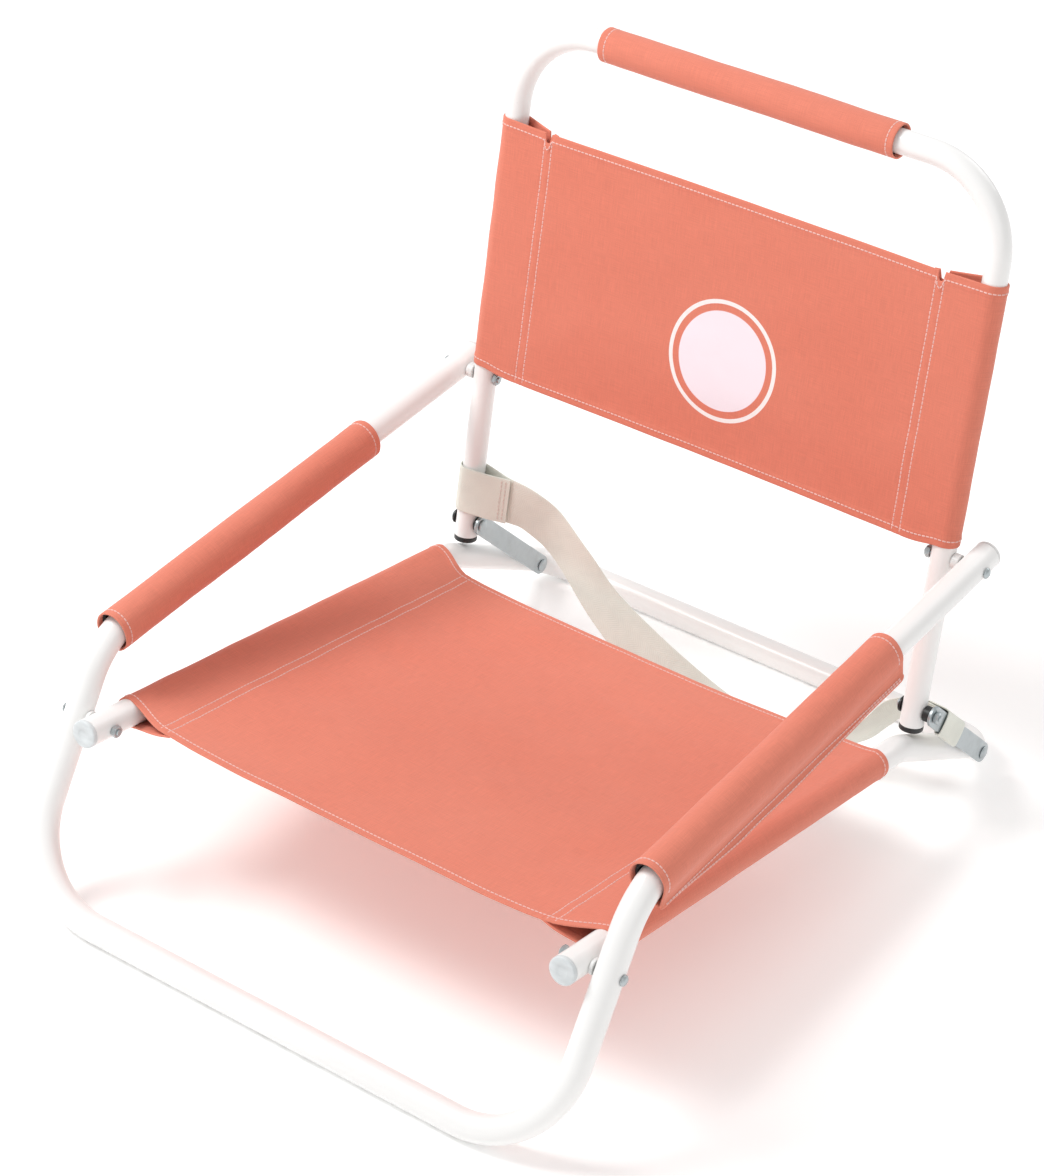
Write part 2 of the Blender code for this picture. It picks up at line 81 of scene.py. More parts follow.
ARM_BEND_R, FRONT_CORNER_R = 70.0, 85.0
RAIL_BEND_R, REAR_CORNER_R = 60.0, 38.0
BACK_CORNER_R = 77.0

# fasteners
BOLT_R, HOLE_R, HEAD_R, DOME_R, HEAD_H = 3.0, 3.4, 6.0, 5.0, 3.2
NUT_R, NUT_H = 5.8, 4.5
WASHER_R, WASHER_H = 7.2, 2.0
SHANK_PAST_NUT = 2.0
RIVET_H, COLLAR_H = 2.4, 3.4
LINK_WIDTH, LINK_T, LINK_OFFSET = 19.0, 3.0, 4.0

# canvas
CANVAS_T = 0.9
CANVAS_GAP = 0.4
SEAM = 204.0                # the sleeves' stitched seams, from the middle
SEAM_ROWS = 4.0             # half the distance between a seam's two rows of stitches
HEM = 9.0                   # width of a folded hem
HEM_STITCH = 6.6            # a hem's stitches, from its edge
SEAT_FROM, SEAT_TO, SEAT_SAG = 46.0, 476.0, 14.0      # along the rail from its front end
BACK_FROM, BACK_TO, BACK_SAG = 157.5, 401.0, 4.0     # along the upright from the link pivot
ARM_SLEEVE_FROM, ARM_SLEEVE_TO = 483.0, 139.0        # along the arm, ahead of the back pivot
GRIP_FROM, GRIP_TO = -163.0, 140.0
SLEEVE_STARTS = 10.0        # the seat's sleeves start this far behind its front edge
SLEEVE_ENDS = (19.0, -9.0)  # and end this far past its rear edge, on the left and on the right
NOTCH = 9.0                 # depth of the slit beside each of the back panel's seams
HEM_STEPS = (0.0, 0.35, 0.9, 1.8, 3.2, 4.6, 5.8, 6.6, 7.4, 8.4, 9.2, 10.2, 12.0, 15.0)
PAD_STEPS = 46              # points round a sleeve's padding
SLEEVE_STEPS = (0.0, 0.4, 1.0, 2.2, 4.0, 5.4, 6.6, 7.8, 9.4, 12.0, 16.0)
FLANGE_T = 2.3              # two layers of canvas sewn flat
ARM_PAD, GRIP_PAD = (17.3, 19.2), (15.6, 15.8)      # half-widths and half-heights of the sleeves
ARM_DROP = 2.4              # the left arm's sleeve hangs this far below its tube's centre
STITCH, STITCH_PITCH, THREAD_R = 3.4, 4.0, 0.62
STRAP_WIDTH, STRAP_T = 45.0, 1.5
LEFT_LOOP, RIGHT_LOOP = 35.0, 44.0      # the strap's loops, along the upright and along the link


def side(x, place):
    """A point at lateral x and side-view (y, z)."""
    return Vector((x, place[0], place[1]))


def toward(a, b):
    return (side(0, b) - side(0, a)).normalized()


RAIL = toward(RAIL_FRONT, RAIL_BEND)
ARM = toward(ARM_BEND, BACK_PIVOT)
BACK = toward(LINK_PIVOT, BACK_TOP)
TAIL_SLOPE = (BAR_Z - RAIL_BEND[1]) / (REAR_BAR[0] - RAIL_BEND[0])
STUD = (STUD_Y, RAIL_BEND[1] + TAIL_SLOPE * (STUD_Y - RAIL_BEND[0]))
LINK = toward(LINK_PIVOT, STUD)


# ---- materials
class Look:
    """A Principled material with helpers that add nodes in front of its sockets."""

    def __init__(self, name, colour, roughness, metallic=0.0, sheen=0.0, coat=0.0, specular=0.5):
        self.material = bpy.data.materials.new(name)
        self.material.use_nodes = True
        self.tree = self.material.node_tree
        self.shader = self.tree.nodes["Principled BSDF"]
        for socket, value in (("Base Color", (*colour, 1)), ("Roughness", roughness),
                              ("Metallic", metallic), ("Sheen Weight", sheen),
                              ("Sheen Roughness", 0.45), ("Coat Weight", coat),
                              ("Coat Roughness", 0.15), ("Specular IOR Level", specular)):
            self.shader.inputs[socket].default_value = value

    def plug(self, socket, value):
        """Links a socket to another one, or sets it to a plain value."""
        if isinstance(value, bpy.types.NodeSocket):
            self.tree.links.new(value, socket)
        else:
            socket.default_value = value

    def node(self, kind, inputs=(), **settings):
        node = self.tree.nodes.new(kind)
        for key, value in settings.items():
            setattr(node, key, value)
        for socket, value in dict(inputs).items():
            self.plug(node.inputs[socket], value)
        return node

    def math(self, operation, *values, clamp=False):
        node = self.node("ShaderNodeMath", operation=operation, use_clamp=clamp)
        for k, value in enumerate(values):
            self.plug(node.inputs[k], value)
        return node.outputs[0]

    def place(self, kind="Object"):
        return self.node("ShaderNodeTexCoord").outputs[kind]

    def stretched(self, vector, scale):
        node = self.node("ShaderNodeMapping", {"Vector": vector, "Scale": scale})
        return node.outputs["Vector"]

    def noise(self, vector, scale, detail=3.0, rough=0.5):
        node = self.node("ShaderNodeTexNoise", {"Vector": vector, "Scale": scale,
                                                "Detail": detail, "Roughness": rough})
        return node.outputs["Fac"]

    def span(self, value, low, high, to_low=0.0, to_high=1.0):
        """value, from low..high, mapped to to_low..to_high and held at its ends."""
        node = self.node("ShaderNodeMapRange", {"Value": value, "From Min": low, "From Max": high,
                                                "To Min": to_low, "To Max": to_high})
        return node.outputs["Result"]

    def blend(self, share, a, b):
        node = self.node("ShaderNodeMix", data_type="RGBA")
        for k, value in ((0, share), (6, a), (7, b)):
            self.plug(node.inputs[k], value)
        return node.outputs[2]

    def bump(self, height, strength, distance, under=None):
        node = self.node("ShaderNodeBump", {"Height": height, "Strength": strength,
                                            "Distance": distance})
        if under is not None:
            self.tree.links.new(under, node.inputs["Normal"])
        return node.outputs["Normal"]

    def feed(self, **sockets):
        names = {"colour": "Base Color", "roughness": "Roughness", "normal": "Normal"}
        for key, value in sockets.items():
            self.tree.links.new(value, self.shader.inputs[names[key]])


def rgba(colour, factor=1.0):
    return (*(min(c * factor, 1.0) for c in colour), 1.0)


def painted_steel():
    """White powder coat: faint orange peel, slight shade variation, scuffs where it meets the ground."""
    colour = (0.89, 0.882, 0.87)
    look = Look("white_paint", colour, 0.32, coat=0.25)
    place = look.place()
    broad = look.noise(place, 9.0, 2.0)
    shade = look.blend(look.span(broad, 0.3, 0.7), rgba(colour, 0.975), rgba(colour, 1.02))
    height = look.node("ShaderNodeSeparateXYZ", {"Vector": place}).outputs["Z"]
    low = look.span(height, 0.0015, 0.006, 1.0, 0.0)
    grit = look.span(look.noise(look.stretched(place, (0.35, 1, 1)), 420.0, 4.0, 0.65), 0.52, 0.60)
    scuff = look.math("MULTIPLY", low, grit)
    speck = look.span(look.noise(place, 260.0, 3.0, 0.7), 0.735, 0.77)
    wear = look.math("MAXIMUM", scuff, look.math("MULTIPLY", speck, 0.35), clamp=True)
    look.feed(colour=look.blend(look.math("MULTIPLY", wear, 0.75), shade, (0.36, 0.345, 0.33, 1)),
              roughness=look.span(wear, 0, 1, 0.32, 0.62),
              normal=look.bump(look.noise(place, 650.0, 1.5), 0.06, 0.0004))
    return look.material


def moulded(name, colour, roughness, grain=900.0, strength=0.12):
    """Moulded plastic: a fine spark-eroded grain and faint flow marks."""
    look = Look(name, colour, roughness)
    place = look.place()
    flow = look.noise(look.stretched(place, (40, 40, 160)), 1.0, 2.0)
    look.feed(colour=look.blend(look.span(flow, 0.3, 0.7), rgba(colour, 0.9), rgba(colour, 1.08)),
              roughness=look.span(flow, 0.3, 0.7, roughness - 0.06, roughness + 0.08),
              normal=look.bump(look.noise(place, grain, 3.0, 0.6), strength, 0.0003))
    return look.material


def zinc_plate():
    """Zinc-plated steel: soft spangle, fine rubbed lines and dull freckles."""
    colour = (0.46, 0.505, 0.52)
    look = Look("zinc", colour, 0.36, metallic=0.85)
    place = look.place()
    spangle = look.node("ShaderNodeTexVoronoi", {"Vector": place, "Scale": 260.0}).outputs["Color"]
    tone = look.node("ShaderNodeSeparateColor", {"Color": spangle}).outputs[0]
    cloud = look.noise(place, 70.0, 4.0, 0.6)
    base = look.blend(look.math("MULTIPLY", tone, 0.12), rgba(colour), rgba(colour, 1.35))
    dull = look.span(cloud, 0.5, 0.68)
    lines = look.noise(look.stretched(place, (300, 2600, 300)), 1.0, 2.0)
    look.feed(colour=look.blend(look.math("MULTIPLY", dull, 0.25), base, (0.36, 0.38, 0.38, 1)),
              roughness=look.span(cloud, 0.3, 0.7, 0.30, 0.44),
              normal=look.bump(lines, 0.04, 0.0002))
    return look.material


def weave_height(look, uv, pitch):
    """Height of a plain weave: threads of the two directions that pass over each other."""
    cell = look.node("ShaderNodeSeparateXYZ", {"Vector": look.stretched(uv, (1 / pitch,) * 3)})
    across, along = (look.math("ABSOLUTE", look.math("SINE", look.math("MULTIPLY", axis, pi)))
                     for axis in (cell.outputs["X"], cell.outputs["Y"]))
    flat = look.node("ShaderNodeCombineXYZ", {"X": cell.outputs["X"], "Y": cell.outputs["Y"],
                                              "Z": 0.5})
    over = look.node("ShaderNodeTexChecker", {"Vector": flat.outputs["Vector"],
                                              "Color1": (0, 0, 0, 1), "Color2": (1, 1, 1, 1),
                                              "Scale": 1.0}).outputs["Fac"]
    top = look.math("MULTIPLY", over, across)
    under = look.math("MULTIPLY", look.math("SUBTRACT", 1.0, over), along)
    return look.math("ADD", top, under)


def canvas(name, colour, disc=None):
    """Plain-weave dyed canvas: weave with painted shade in its hollows, slubs, faded patches and soft
    sheen.

    disc is (u, v, radius) of a plain printed spot with a thin ring round it, in metres.
    """
    look = Look(name, colour, 0.82, sheen=0.18, specular=0.25)
    uv = look.place("UV")
    weave = weave_height(look, uv, 0.00062)
    slub = look.noise(look.stretched(uv, (55, 1400, 1)), 1.0, 3.0)
    slub_across = look.noise(look.stretched(uv, (1400, 55, 1)), 1.0, 3.0)
    threads = look.math("ADD", look.math("MULTIPLY", slub, 0.5),
                        look.math("MULTIPLY", slub_across, 0.5))
    patch = look.noise(look.place(), 7.0, 3.0)
    base = look.blend(look.span(threads, 0.35, 0.65), rgba(colour, 0.90), rgba(colour, 1.07))
    faded = look.blend(look.span(patch, 0.35, 0.75, 0.0, 0.16), base, (0.86, 0.36, 0.27, 1))
    # painted shade: darker coral where the weave dips between its threads
    cloth_with_weave_shade = look.blend(look.span(weave, 0.0, 0.9, 0.26, 0.0), faded, rgba(colour, 0.55))
    if disc:
        cloth_with_weave_shade = printed(look, uv, cloth_with_weave_shade, disc, threads)
    grain = look.bump(weave, 0.35, 0.00022)
    look.feed(colour=cloth_with_weave_shade, roughness=look.span(patch, 0.3, 0.7, 0.76, 0.88),
              normal=look.bump(threads, 0.25, 0.0003, grain))
    return look.material


def printed(look, uv, cloth, disc, threads):
    """The cloth's colour with a pale spot and a thin ring printed on it."""
    u, v, radius = disc
    centred = look.node("ShaderNodeVectorMath", {0: uv, 1: (u, v, 0)}, operation="SUBTRACT")
    flat = look.node("ShaderNodeVectorMath", {0: centred.outputs[0], 1: (1, 1, 0)},
                     operation="MULTIPLY")
    reach = look.node("ShaderNodeVectorMath", {0: flat.outputs[0]}, operation="LENGTH")
    distance = look.math("ADD", reach.outputs["Value"],
                         look.math("MULTIPLY", threads, 0.0005))
    soft = 0.0003
    spot = look.span(distance, radius - soft, radius + soft, 0.94, 0.0)
    band = look.math("ABSOLUTE", look.math("SUBTRACT", distance, radius + 0.0085))
    ring = look.span(band, 0.0018, 0.0018 + soft, 0.94, 0.0)
    inked = look.blend(spot, cloth, (0.93, 0.87, 0.94, 1))
    return look.blend(ring, inked, (0.94, 0.93, 0.92, 1))


def webbing():
    """Ivory strap webbing: herringbone ribs along its length with painted shade between them, a little
    soiled.
    """
    colour = (0.78, 0.785, 0.71)
    look = Look("ivory_webbing", colour, 0.8, sheen=0.15, specular=0.25)
    uv = look.place("UV")
    cell = look.node("ShaderNodeSeparateXYZ", {"Vector": look.stretched(uv, (1 / 0.009, 420, 1))})
    zigzag = look.math("PINGPONG", cell.outputs["X"], 1.0)
    rib = look.math("SINE", look.math("ADD", look.math("MULTIPLY", cell.outputs["Y"], pi),
                                      look.math("MULTIPLY", zigzag, 9.0)))
    height = look.math("ABSOLUTE", rib)
    soil = look.noise(look.place(), 26.0, 4.0, 0.6)
    base = look.blend(look.span(soil, 0.4, 0.75), rgba(colour, 1.03), rgba(colour, 0.9))
    # painted shade: the ivory darkens in the hollows between the ribs
    look.feed(colour=look.blend(look.span(height, 0.0, 0.8, 0.2, 0.0), base, rgba(colour, 0.62)),
              roughness=look.span(soil, 0.3, 0.7, 0.75, 0.88),
              normal=look.bump(height, 0.4, 0.0003))
    return look.material


def thread(name, colour):
    """Sewing thread: twisted plies."""
    look = Look(name, colour, 0.6, sheen=0.2, specular=0.3)
    place = look.place()
    ply = look.noise(place, 900.0, 2.0)
    look.feed(colour=look.blend(look.span(ply, 0.35, 0.65), rgba(colour, 0.86), rgba(colour, 1.05)),
              normal=look.bump(ply, 0.3, 0.0002))
    return look.material


def foam_rubber():
    """Near-black padding with Voronoi pores, each darker at its middle: painted shade in the pores."""
    colour = (0.030, 0.029, 0.030)
    look = Look("foam", colour, 0.95, specular=0.2)
    place = look.place()
    pores = look.node("ShaderNodeTexVoronoi", {"Vector": place, "Scale": 900.0}).outputs["Distance"]
    # painted shade: each pore is darkest at its middle, where it is deepest
    look.feed(colour=look.blend(look.span(pores, 0.1, 0.6), rgba(colour, 0.5), rgba(colour, 1.5)),
              normal=look.bump(pores, 0.6, 0.0005))
    return look.material


CORAL = (0.765, 0.226, 0.150)
DISC_R = 0.046
DISC_UP = 251.0             # the disc's centre, along the upright from the link pivot
LOOKS = {
    "white_paint": painted_steel(),
    "white_plastic": moulded("white_plastic", (0.78, 0.78, 0.77), 0.42),
    "grey_plastic": moulded("grey_plastic", (0.66, 0.69, 0.70), 0.40),
    "black_plastic": moulded("black_plastic", (0.016, 0.016, 0.017), 0.38),
    "zinc": zinc_plate(),
    "coral_canvas": canvas("coral_canvas", CORAL),
    "foam": foam_rubber(),
    "ivory_webbing": webbing(),
}
PRINTED = canvas("printed_canvas", CORAL, (0.006, DISC_UP * MM, DISC_R))
PALE_THREAD = thread("pale_thread", (0.86, 0.55, 0.50))
IVORY_THREAD = thread("ivory_thread", (0.74, 0.64, 0.58))


# ---- meshes
def add_object(name, data):
    thing = bpy.data.objects.new(name, data)
    bpy.context.collection.objects.link(thing)
    return thing


def finish_piece(name, bm, body, slot, materials=None, replaced=(), sharp=40.0):
    """Makes an object of a bmesh in millimetres, rides it on its body and hides the CAD parts it
    replaces.
    """
    bmesh.ops.recalc_face_normals(bm, faces=bm.faces)
    if bm.calc_volume(signed=True) < 0:
        bmesh.ops.reverse_faces(bm, faces=bm.faces)
    bmesh.ops.scale(bm, vec=(MM, MM, MM), verts=bm.verts)
    mesh = bpy.data.meshes.new(name)
    bm.to_mesh(mesh)
    bm.free()
    mesh.shade_smooth()
    mesh.set_sharp_from_angle(angle=radians(sharp))
    for material in materials or (LOOKS[slot],):
        mesh.materials.append(material)
    piece = add_object(name, mesh)
    if body:
        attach(piece, body)
    if replaced:
        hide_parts(*replaced)
    return piece


def skin(bm, rows, closed_rows=True, closed_columns=True, uvs=None, material=0):
    """Quads over a grid of points. uvs gives each grid place's (u, v) in metres."""
    verts = [[bm.verts.new(p) for p in row] for row in rows]
    layer = bm.loops.layers.uv.verify()
    count = len(verts[0])
    for i in range(len(verts) if closed_rows else len(verts) - 1):
        for k in range(count if closed_columns else count - 1):
            places = ((i, k), (i, k + 1), (i + 1, k + 1), (i + 1, k))
            corners = [verts[a % len(verts)][b % count] for a, b in places]
            face = bm.faces.new(corners)
            face.material_index = material
            if uvs:
                for loop, (a, b) in zip(face.loops, places):
                    loop[layer].uv = uvs(a, b)
    return verts


def rounded_path(corners, radii, step=radians(4.5)):
    """A polyline through the corners, with an arc of the given radius at each inner one."""
    points = [corners[0]]
    for before, corner, after, radius in zip(corners, corners[1:], corners[2:], radii):
        back = (before - corner).normalized()
        ahead = (after - corner).normalized()
        turn = pi - back.angle(ahead)
        centre = corner + (back + ahead).normalized() * radius / cos(turn / 2)
        start = corner + back * radius * tan(turn / 2) - centre
        axis = back.cross(ahead).normalized()
        steps = ceil(turn / step)
        for k in range(steps + 1):
            points.append(centre + Matrix.Rotation(-turn * k / steps, 3, axis) @ start)
    points.append(corners[-1])
    return points


def frames_along(points, up):
    """A (point, tangent, normal, across) for each point, turned as little as possible."""
    frames = []
    normal = up
    for i, point in enumerate(points):
        ahead = points[min(i + 1, len(points) - 1)] - points[max(i - 1, 0)]
        tangent = ahead.normalized()
        if frames:
            normal = frames[-1][1].rotation_difference(tangent) @ normal
        normal = (normal - tangent * normal.dot(tangent)).normalized()
        frames.append((point, tangent, normal, tangent.cross(normal)))
    return frames


def tube(points, outer, inner, sides=48, up=Z):
    """A tube with rounded rims at its open ends."""
    edge = (outer - inner) / 2 * 0.3
    frames = frames_along(points, up)
    last = len(frames) - 1
    stations = [(0, outer - edge, 0), (0, outer, edge)]
    stations += [(k, outer, 0) for k in range(1, last)]
    stations += [(last, outer, -edge), (last, outer - edge, 0)]
    stations += [(k, inner, 0) for k in range(last, -1, -1)]
    angles = [2 * pi * j / sides for j in range(sides)]
    rings = []
    for k, radius, shift in stations:
        point, tangent, normal, across = frames[k]
        rings.append([point + tangent * shift + radius * (cos(a) * normal + sin(a) * across)
                      for a in angles])
    bm = bmesh.new()
    skin(bm, rings)
    return bm


def lathe(profile, foot, axis, sides=32):
    """A solid turned about axis from (radius, height) pairs that start and end on the axis."""
    turn = Z.rotation_difference(axis).to_matrix()
    bm = bmesh.new()
    rows = [[foot + turn @ Vector((r * cos(a), r * sin(a), h))
             for a in (2 * pi * k / sides for k in range(sides))] for r, h in profile[1:-1]]
    verts = skin(bm, rows, closed_rows=False)
    for row, (_, height) in ((verts[0], profile[0]), (verts[-1], profile[-1])):
        pole = bm.verts.new(foot + turn @ Vector((0, 0, height)))
        for k in range(sides):
            bm.faces.new((row[k], row[(k + 1) % sides], pole))
    return bm


def washer(inner, outer, height, foot, axis, hexagon=False, edge=0.35):
    """A flat ring with broken edges, round or six-sided outside."""
    turn = Z.rotation_difference(axis).to_matrix()
    count = 36
    bm = bmesh.new()
    rows = []
    for radius, h in ((inner, 0), (outer - edge, 0), (outer, edge), (outer, height - edge),
                      (outer - edge, height), (inner, height)):
        row = []
        for k in range(count):
            a = 2 * pi * k / count
            flat = 1.0
            if hexagon and radius > inner:
                off = (a + pi / 6) % (pi / 3) - pi / 6
                flat = cos(pi / 6) / cos(off) if radius >= outer else 0.93
            row.append(foot + turn @ Vector((radius * flat * cos(a), radius * flat * sin(a), h)))
        rows.append(row)
    skin(bm, rows)
    return bm


def capsules(bm, spots):
    """A short thread with rounded ends for each (start, end, out) in spots, half sunk."""
    for start, end, out in spots:
        along = (end - start).normalized()
        across = along.cross(out).normalized()
        length = (end - start).length
        rings = []
        for shift, share in ((0.12, 0.6), (0.5, 1.0), (length - 0.5, 1.0), (length - 0.12, 0.6)):
            bow = 0.25 * sin(pi * shift / length)
            rings.append([start + along * shift + out * bow
                          + THREAD_R * share * (cos(a) * across + 0.8 * sin(a) * out)
                          for a in (2 * pi * k / 6 for k in range(6))])
        verts = skin(bm, rings, closed_rows=False)
        for row, pole in ((verts[0], start), (verts[-1], end)):
            tip = bm.verts.new(pole)
            for k in range(6):
                bm.faces.new((row[k], row[(k + 1) % 6], tip))


def stitched(line, spacing=STITCH_PITCH):
    """(start, end, out) for each stitch along a dense line of (point, out) pairs."""
    spots = []
    run, due = 0.0, 0.6
    begun = None
    for (a, out), (b, _) in zip(line, line[1:]):
        length = (b - a).length
        while due <= run + length and length > 0:
            place = a.lerp(b, (due - run) / length)
            if begun is None:
                begun = (place, out)
                due += STITCH
            else:
                spots.append((begun[0], place, out))
                begun = None
                due += spacing - STITCH
        run += length
    return spots


def sew(name, lines, body, slot, material):
    """One object of all the stitches along the lines."""
    bm = bmesh.new()
    for line in lines:
        capsules(bm, stitched(line))
    return finish_piece(name, bm, body, slot, [material])


def smooth_step(t):
    t = min(max(t, 0.0), 1.0)
    return t * t * (3 - 2 * t)


def wave(*place):
    """Smooth noise of about -1 to 1 at up to three coordinates."""
    return noise.noise(Vector((*place, *(0.0,) * (3 - len(place)))))


# ---- painted frames
def mirrored_path(half, half_width, radii):
    """A rounded path along half's points on the left side, across and back on the right."""
    left = [p - X * half_width for p in half]
    right = [p + X * half_width for p in reversed(half)]
    return rounded_path(left + right, radii + radii[::-1])


def add_frames():
    arm_end = side(0, BACK_PIVOT) + ARM * ARM_PAST_PIVOT
    rail_end = side(0, RAIL_FRONT) + RAIL * RAIL_CAP
    back_end = side(0, LINK_PIVOT) - BACK * BACK_BELOW_PIVOT
    for name, body, radius, half_width, half, radii in (
            ("front_arm_frame", "front", TUBE_R, FRONT_HALF,
             [arm_end, side(0, ARM_BEND), side(0, FRONT_BAR)], (ARM_BEND_R, FRONT_CORNER_R)),
            ("seat_frame", "seat", TUBE_R, SEAT_HALF,
             [rail_end, side(0, RAIL_BEND), side(0, REAR_BAR)], (RAIL_BEND_R, REAR_CORNER_R)),
            ("back_frame", "back", BACK_TUBE_R, BACK_HALF,
             [back_end, side(0, BACK_TOP)], (BACK_CORNER_R,))):
        path = mirrored_path(half, half_width, radii)
        finish_piece(f"{name}_tube", tube(path, radius, radius - WALL), body, "white_paint",
                     replaced=[name])


def plug_profile(tube_r, flange, depth=9.0, edge=1.4):
    """An end plug: spigot, rounded flange and a shallow moulded dimple in its face."""
    bore = tube_r - WALL - 0.4
    points = [(0, -depth), (bore - 0.6, -depth), (bore, -depth + 0.8), (bore, 0),
              (tube_r - 0.25, 0), (tube_r, 0.25)]
    for k in range(6):
        a = pi / 2 * k / 5
        points.append((tube_r - edge * (1 - cos(a)), flange - edge * (1 - sin(a))))
    dimple = tube_r * 0.42
    return points + [(dimple + 0.5, flange + 0.3), (dimple, flange + 0.1),
                     (dimple - 0.8, flange - 0.35), (0, flange - 0.4)]


def add_plugs():
    for tag, sign in (("left", -1), ("right", 1)):
        for name, foot, axis, radius, flange, body, slot in (
                ("arm_end_cap", side(sign * FRONT_HALF, BACK_PIVOT) + ARM * (ARM_PAST_PIVOT + GAP),
                 ARM, TUBE_R, 3.0, "front", "white_plastic"),
                ("rail_cap", side(sign * SEAT_HALF, RAIL_FRONT) + RAIL * (RAIL_CAP - GAP),
                 -RAIL, TUBE_R, 4.0, "seat", "grey_plastic"),
                ("back_foot", side(sign * BACK_HALF, LINK_PIVOT) - BACK * (BACK_BELOW_PIVOT + GAP),
                 -BACK, BACK_TUBE_R, 5.0, "back", "black_plastic")):
            node = f"{name}_{tag}"
            finish_piece(f"{node}_plug", lathe(plug_profile(radius, flange), foot, axis, 40),
                         body, slot, replaced=[node])


# ---- fasteners and links
def bolt_profile(length):
    """A domed, slightly flattened head below height 0 and a shank with a chamfered end above it."""
    head = []
    for k in range(1, 7):
        a = pi / 2 * k / 6
        head.append((DOME_R * sin(a), -0.3 - (HEAD_H - 0.3) * cos(a) ** 0.8))
    return ([(0, -HEAD_H)] + head
            + [(DOME_R - 0.2, 0), (BOLT_R, 0), (BOLT_R, length - 0.7), (BOLT_R - 0.6, length),
               (0, length)])


def add_stack(body, name, place, start, into, stack):
    """A bolt through pieces along X. stack has (kind, from, height, slot), measured from start."""
    axis = X * into
    for kind, low, height, slot in stack:
        foot = side(start, place) + axis * low
        if kind == "bolt":
            bm = lathe(bolt_profile(height), foot, axis)
        elif kind == "nut":
            bm = washer(HOLE_R - 0.3, NUT_R, height, foot, axis, hexagon=True, edge=0.7)
        else:
            bm = washer(HOLE_R, WASHER_R, height, foot, axis)
        node = f"{name}_{kind}"
        finish_piece(f"{node}_turned", bm, body, slot, replaced=[node], sharp=28.0)


def add_pivots():
    tube_d, back_d = 2 * TUBE_R, 2 * BACK_TUBE_R
    shank = NUT_H + SHANK_PAST_NUT
    for tag, sign in (("left", -1), ("right", 1)):
        outer = sign * (FRONT_HALF + TUBE_R)
        for name, place, gap, inner_d in (
                (f"seat_pivot_{tag}", SEAT_PIVOT, FRONT_HALF - SEAT_HALF - tube_d, tube_d),
                (f"back_pivot_{tag}", BACK_PIVOT,
                 FRONT_HALF - BACK_HALF - TUBE_R - BACK_TUBE_R, back_d)):
            grip = tube_d + gap + inner_d
            add_stack("front", name, place, outer, -sign, (
                ("bolt", -GAP, grip + shank, "zinc"),
                ("washer", tube_d + GAP, gap - 2 * GAP, "white_plastic"),
                ("nut", grip + GAP, NUT_H, "zinc")))
        # both links stand on the +X side of their upright
        near = sign * BACK_HALF - BACK_TUBE_R
        plate = sign * SEAT_HALF + TUBE_R + LINK_OFFSET - near
        stack = [("washer", -GAP - WASHER_H, WASHER_H, "black_plastic"),
                 ("spacer", back_d + GAP, plate - back_d - 2 * GAP, "black_plastic")]
        if tag == "right":
            end = plate + LINK_T
            stack += [("bolt", -2 * GAP - WASHER_H, end + WASHER_H + shank, "zinc"),
                      ("nut", end + GAP, NUT_H, "zinc")]
        else:
            # the left link's upper pivot is open, so this bolt ends inside the spacer
            stack += [("bolt", -2 * GAP - WASHER_H, plate + WASHER_H, "zinc")]
        add_stack("back", f"link_pivot_{tag}", LINK_PIVOT, near, 1, stack)


def bar(face, inset=0.5):
    """A flat link bar with round ends and broken edges, its near face at x = face."""
    low, high = side(0, STUD), side(0, LINK_PIVOT)
    steps = 20

    def outline(x, width):
        row = []
        for centre, facing in ((low, LINK), (high, -LINK)):
            other = X.cross(facing)
            for k in range(steps + 1):
                a = pi / 2 - pi * k / steps
                row.append(centre + X * x + width / 2 * (cos(a) * facing + sin(a) * other))
        return row

    bm = bmesh.new()
    rows = [outline(face, LINK_WIDTH - 2 * inset), outline(face + inset, LINK_WIDTH),
            outline(face + LINK_T - inset, LINK_WIDTH), outline(face + LINK_T, LINK_WIDTH - 2 * inset)]
    verts = skin(bm, rows, closed_rows=False)
    bm.faces.new(verts[0])
    bm.faces.new(verts[-1])
    return bm


def low_head(sign):
    """A low rivet head's (radius, height) pairs, from its top at sign * RIVET_H to its rim."""
    rim = [(HEAD_R * sin(a), sign * RIVET_H * (0.25 + 0.75 * cos(a)))
           for a in (pi / 2 * k / 6 for k in range(1, 7))]
    return [(0, sign * RIVET_H)] + rim + [(HEAD_R - 0.2, 0)]


